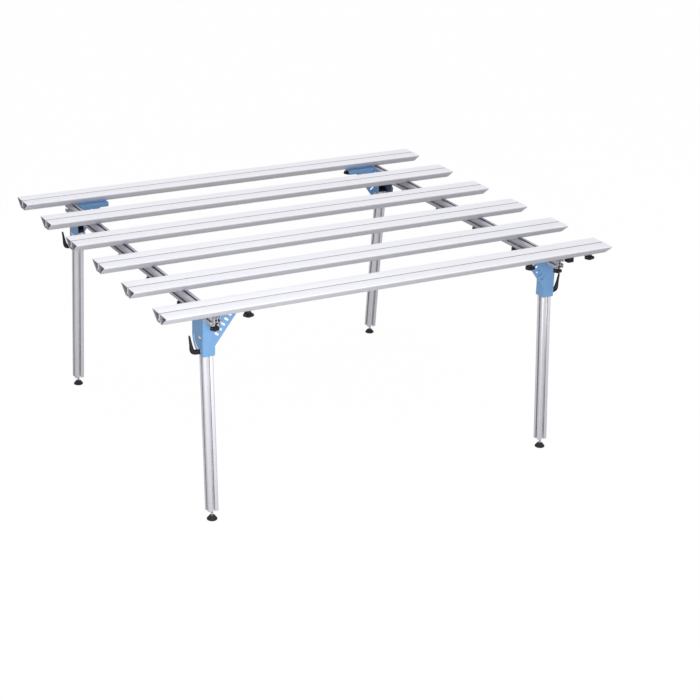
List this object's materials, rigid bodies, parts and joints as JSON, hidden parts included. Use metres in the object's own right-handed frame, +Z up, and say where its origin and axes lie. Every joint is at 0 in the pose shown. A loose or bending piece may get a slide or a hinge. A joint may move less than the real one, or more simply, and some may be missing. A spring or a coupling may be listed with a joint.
{
  "type": "folding workbench",
  "caption": "Folding aluminium slatted workbench on splayed slotted legs with blue sheet-metal brackets, clamp levers, star knobs and levelling feet",
  "frame": {"origin": "on the floor under the middle of the top", "axes": "+X along the slats, +Y across them towards the back, +Z up"},
  "size_m": [1.8, 1.497, 0.815],
  "materials": {
    "slat_aluminium": "satin anodised extrusion",
    "bar_aluminium": "satin anodised slotted bar",
    "bracket_blue": "powder-coated folded steel sheet",
    "fastener_steel": "zinc-plated steel",
    "black_plastic": "moulded glass-filled plastic",
    "foot_rubber": "moulded hard plastic pad"
  },
  "bodies": {
    "frame": {"top_slat_1": "slat_aluminium", "top_slat_2": "slat_aluminium", "top_slat_3": "slat_aluminium", "top_slat_4": "slat_aluminium", "top_slat_5": "slat_aluminium", "top_slat_6": "slat_aluminium", "cross_beam_left": "bar_aluminium", "cross_beam_right": "bar_aluminium", "leg_bracket_front_left": "bracket_blue", "leg_bracket_front_right": "bracket_blue", "leg_bracket_back_left": "bracket_blue", "leg_bracket_back_right": "bracket_blue", "pivot_bolts": "fastener_steel", "pivot_nuts": "fastener_steel", "bracket_screws": "fastener_steel", "beam_tee_nuts": "fastener_steel", "slat_tee_nuts": "fastener_steel", "slot_slider": "black_plastic"},
    "leg_front_left_body": {"leg_front_left": "bar_aluminium", "leg_cap_front_left": "black_plastic"},
    "lever_front_left_body": {"clamp_lever_front_left": "black_plastic", "clamp_stud_front_left": "fastener_steel"},
    "stem_front_left_body": {"foot_stem_front_left": "fastener_steel"},
    "pad_front_left_body": {"foot_pad_front_left": "foot_rubber"},
    "leg_front_right_body": {"leg_front_right": "bar_aluminium", "leg_cap_front_right": "black_plastic"},
    "lever_front_right_body": {"clamp_lever_front_right": "black_plastic", "clamp_stud_front_right": "fastener_steel"},
    "stem_front_right_body": {"foot_stem_front_right": "fastener_steel"},
    "pad_front_right_body": {"foot_pad_front_right": "foot_rubber"},
    "leg_back_left_body": {"leg_back_left": "bar_aluminium", "leg_cap_back_left": "black_plastic"},
    "lever_back_left_body": {"clamp_lever_back_left": "black_plastic", "clamp_stud_back_left": "fastener_steel"},
    "stem_back_left_body": {"foot_stem_back_left": "fastener_steel"},
    "pad_back_left_body": {"foot_pad_back_left": "foot_rubber"},
    "leg_back_right_body": {"leg_back_right": "bar_aluminium", "leg_cap_back_right": "black_plastic"},
    "lever_back_right_body": {"clamp_lever_back_right": "black_plastic", "clamp_stud_back_right": "fastener_steel"},
    "stem_back_right_body": {"foot_stem_back_right": "fastener_steel"},
    "pad_back_right_body": {"foot_pad_back_right": "foot_rubber"},
    "beam_knob_left_1_body": {"beam_knob_left_1": "black_plastic"},
    "beam_knob_left_2_body": {"beam_knob_left_2": "black_plastic"},
    "beam_knob_left_3_body": {"beam_knob_left_3": "black_plastic"},
    "beam_knob_left_4_body": {"beam_knob_left_4": "black_plastic"},
    "beam_knob_left_5_body": {"beam_knob_left_5": "black_plastic"},
    "beam_knob_left_6_body": {"beam_knob_left_6": "black_plastic"},
    "beam_knob_right_1_body": {"beam_knob_right_1": "black_plastic"},
    "beam_knob_right_2_body": {"beam_knob_right_2": "black_plastic"},
    "beam_knob_right_3_body": {"beam_knob_right_3": "black_plastic"},
    "beam_knob_right_4_body": {"beam_knob_right_4": "black_plastic"},
    "beam_knob_right_5_body": {"beam_knob_right_5": "black_plastic"},
    "beam_knob_right_6_body": {"beam_knob_right_6": "black_plastic"},
    "bracket_knob_front_left_body": {"bracket_knob_front_left": "black_plastic"},
    "bracket_knob_front_right_body": {"bracket_knob_front_right": "black_plastic"},
    "bracket_knob_back_left_body": {"bracket_knob_back_left": "black_plastic"},
    "bracket_knob_back_right_body": {"bracket_knob_back_right": "black_plastic"},
    "end_knob_body": {"end_knob": "black_plastic"}
  },
  "joints": [
    {"name": "leg_front_left_fold", "type": "hinge", "parent": "frame", "child": "leg_front_left_body", "pos_m": [-0.7, -0.616, 0.672], "axis": [1, 0, 0], "range_deg": [0, 90]},
    {"name": "lever_front_left_turn", "type": "hinge", "parent": "leg_front_left_body", "child": "lever_front_left_body", "pos_m": [-0.7, -0.61968, 0.62414], "axis": [1, 0, 0], "range_deg": [0, 120]},
    {"name": "foot_front_left_level", "type": "slide", "parent": "leg_front_left_body", "child": "stem_front_left_body", "axis": [0, -0.0767, -0.9971], "range_m": [-0.008, 0.03]},
    {"name": "pad_front_left_swivel", "type": "hinge", "parent": "stem_front_left_body", "child": "pad_front_left_body", "pos_m": [-0.7, -0.66678, 0.012], "axis": [1, 0, 0], "range_deg": [-10, 10]},
    {"name": "leg_front_right_fold", "type": "hinge", "parent": "frame", "child": "leg_front_right_body", "pos_m": [0.7, -0.616, 0.672], "axis": [1, 0, 0], "range_deg": [0, 90]},
    {"name": "lever_front_right_turn", "type": "hinge", "parent": "leg_front_right_body", "child": "lever_front_right_body", "pos_m": [0.7, -0.61968, 0.62414], "axis": [1, 0, 0], "range_deg": [0, 120]},
    {"name": "foot_front_right_level", "type": "slide", "parent": "leg_front_right_body", "child": "stem_front_right_body", "axis": [0, -0.0767, -0.9971], "range_m": [-0.008, 0.03]},
    {"name": "pad_front_right_swivel", "type": "hinge", "parent": "stem_front_right_body", "child": "pad_front_right_body", "pos_m": [0.7, -0.66678, 0.012], "axis": [1, 0, 0], "range_deg": [-10, 10]},
    {"name": "leg_back_left_fold", "type": "hinge", "parent": "frame", "child": "leg_back_left_body", "pos_m": [-0.7, 0.616, 0.672], "axis": [-1, 0, 0], "range_deg": [0, 96]},
    {"name": "lever_back_left_turn", "type": "hinge", "parent": "leg_back_left_body", "child": "lever_back_left_body", "pos_m": [-0.7, 0.61968, 0.62414], "axis": [-1, 0, 0], "range_deg": [0, 120]},
    {"name": "foot_back_left_level", "type": "slide", "parent": "leg_back_left_body", "child": "stem_back_left_body", "axis": [0, 0.0767, -0.9971], "range_m": [-0.008, 0.03]},
    {"name": "pad_back_left_swivel", "type": "hinge", "parent": "stem_back_left_body", "child": "pad_back_left_body", "pos_m": [-0.7, 0.66678, 0.012], "axis": [1, 0, 0], "range_deg": [-10, 10]},
    {"name": "leg_back_right_fold", "type": "hinge", "parent": "frame", "child": "leg_back_right_body", "pos_m": [0.7, 0.616, 0.672], "axis": [-1, 0, 0], "range_deg": [0, 96]},
    {"name": "lever_back_right_turn", "type": "hinge", "parent": "leg_back_right_body", "child": "lever_back_right_body", "pos_m": [0.7, 0.61968, 0.62414], "axis": [-1, 0, 0], "range_deg": [0, 120]},
    {"name": "foot_back_right_level", "type": "slide", "parent": "leg_back_right_body", "child": "stem_back_right_body", "axis": [0, 0.0767, -0.9971], "range_m": [-0.008, 0.03]},
    {"name": "pad_back_right_swivel", "type": "hinge", "parent": "stem_back_right_body", "child": "pad_back_right_body", "pos_m": [0.7, 0.66678, 0.012], "axis": [1, 0, 0], "range_deg": [-10, 10]},
    {"name": "beam_knob_left_1_turn", "type": "hinge", "parent": "frame", "child": "beam_knob_left_1_body", "pos_m": [-0.7, -0.69, 0.732], "axis": [0, 0, 1], "continuous": true},
    {"name": "beam_knob_left_2_turn", "type": "hinge", "parent": "frame", "child": "beam_knob_left_2_body", "pos_m": [-0.7, -0.414, 0.732], "axis": [0, 0, 1], "continuous": true},
    {"name": "beam_knob_left_3_turn", "type": "hinge", "parent": "frame", "child": "beam_knob_left_3_body", "pos_m": [-0.7, -0.138, 0.732], "axis": [0, 0, 1], "continuous": true},
    {"name": "beam_knob_left_4_turn", "type": "hinge", "parent": "frame", "child": "beam_knob_left_4_body", "pos_m": [-0.7, 0.138, 0.732], "axis": [0, 0, 1], "continuous": true},
    {"name": "beam_knob_left_5_turn", "type": "hinge", "parent": "frame", "child": "beam_knob_left_5_body", "pos_m": [-0.7, 0.414, 0.732], "axis": [0, 0, 1], "continuous": true},
    {"name": "beam_knob_left_6_turn", "type": "hinge", "parent": "frame", "child": "beam_knob_left_6_body", "pos_m": [-0.7, 0.69, 0.732], "axis": [0, 0, 1], "continuous": true},
    {"name": "beam_knob_right_1_turn", "type": "hinge", "parent": "frame", "child": "beam_knob_right_1_body", "pos_m": [0.7, -0.69, 0.732], "axis": [0, 0, 1], "continuous": true},
    {"name": "beam_knob_right_2_turn", "type": "hinge", "parent": "frame", "child": "beam_knob_right_2_body", "pos_m": [0.7, -0.414, 0.732], "axis": [0, 0, 1], "continuous": true},
    {"name": "beam_knob_right_3_turn", "type": "hinge", "parent": "frame", "child": "beam_knob_right_3_body", "pos_m": [0.7, -0.138, 0.732], "axis": [0, 0, 1], "continuous": true},
    {"name": "beam_knob_right_4_turn", "type": "hinge", "parent": "frame", "child": "beam_knob_right_4_body", "pos_m": [0.7, 0.138, 0.732], "axis": [0, 0, 1], "continuous": true},
    {"name": "beam_knob_right_5_turn", "type": "hinge", "parent": "frame", "child": "beam_knob_right_5_body", "pos_m": [0.7, 0.414, 0.732], "axis": [0, 0, 1], "continuous": true},
    {"name": "beam_knob_right_6_turn", "type": "hinge", "parent": "frame", "child": "beam_knob_right_6_body", "pos_m": [0.7, 0.69, 0.732], "axis": [0, 0, 1], "continuous": true},
    {"name": "bracket_knob_front_left_turn", "type": "hinge", "parent": "frame", "child": "bracket_knob_front_left_body", "pos_m": [-0.575, -0.69, 0.76], "axis": [0, 0, 1], "continuous": true},
    {"name": "bracket_knob_front_right_turn", "type": "hinge", "parent": "frame", "child": "bracket_knob_front_right_body", "pos_m": [0.575, -0.69, 0.76], "axis": [0, 0, 1], "continuous": true},
    {"name": "bracket_knob_back_left_turn", "type": "hinge", "parent": "frame", "child": "bracket_knob_back_left_body", "pos_m": [-0.575, 0.69, 0.76], "axis": [0, 0, 1], "continuous": true},
    {"name": "bracket_knob_back_right_turn", "type": "hinge", "parent": "frame", "child": "bracket_knob_back_right_body", "pos_m": [0.575, 0.69, 0.76], "axis": [0, 0, 1], "continuous": true},
    {"name": "end_knob_turn", "type": "hinge", "parent": "frame", "child": "end_knob_body", "pos_m": [0.842, -0.69, 0.765], "axis": [0, 0, 1], "continuous": true}
  ]
}
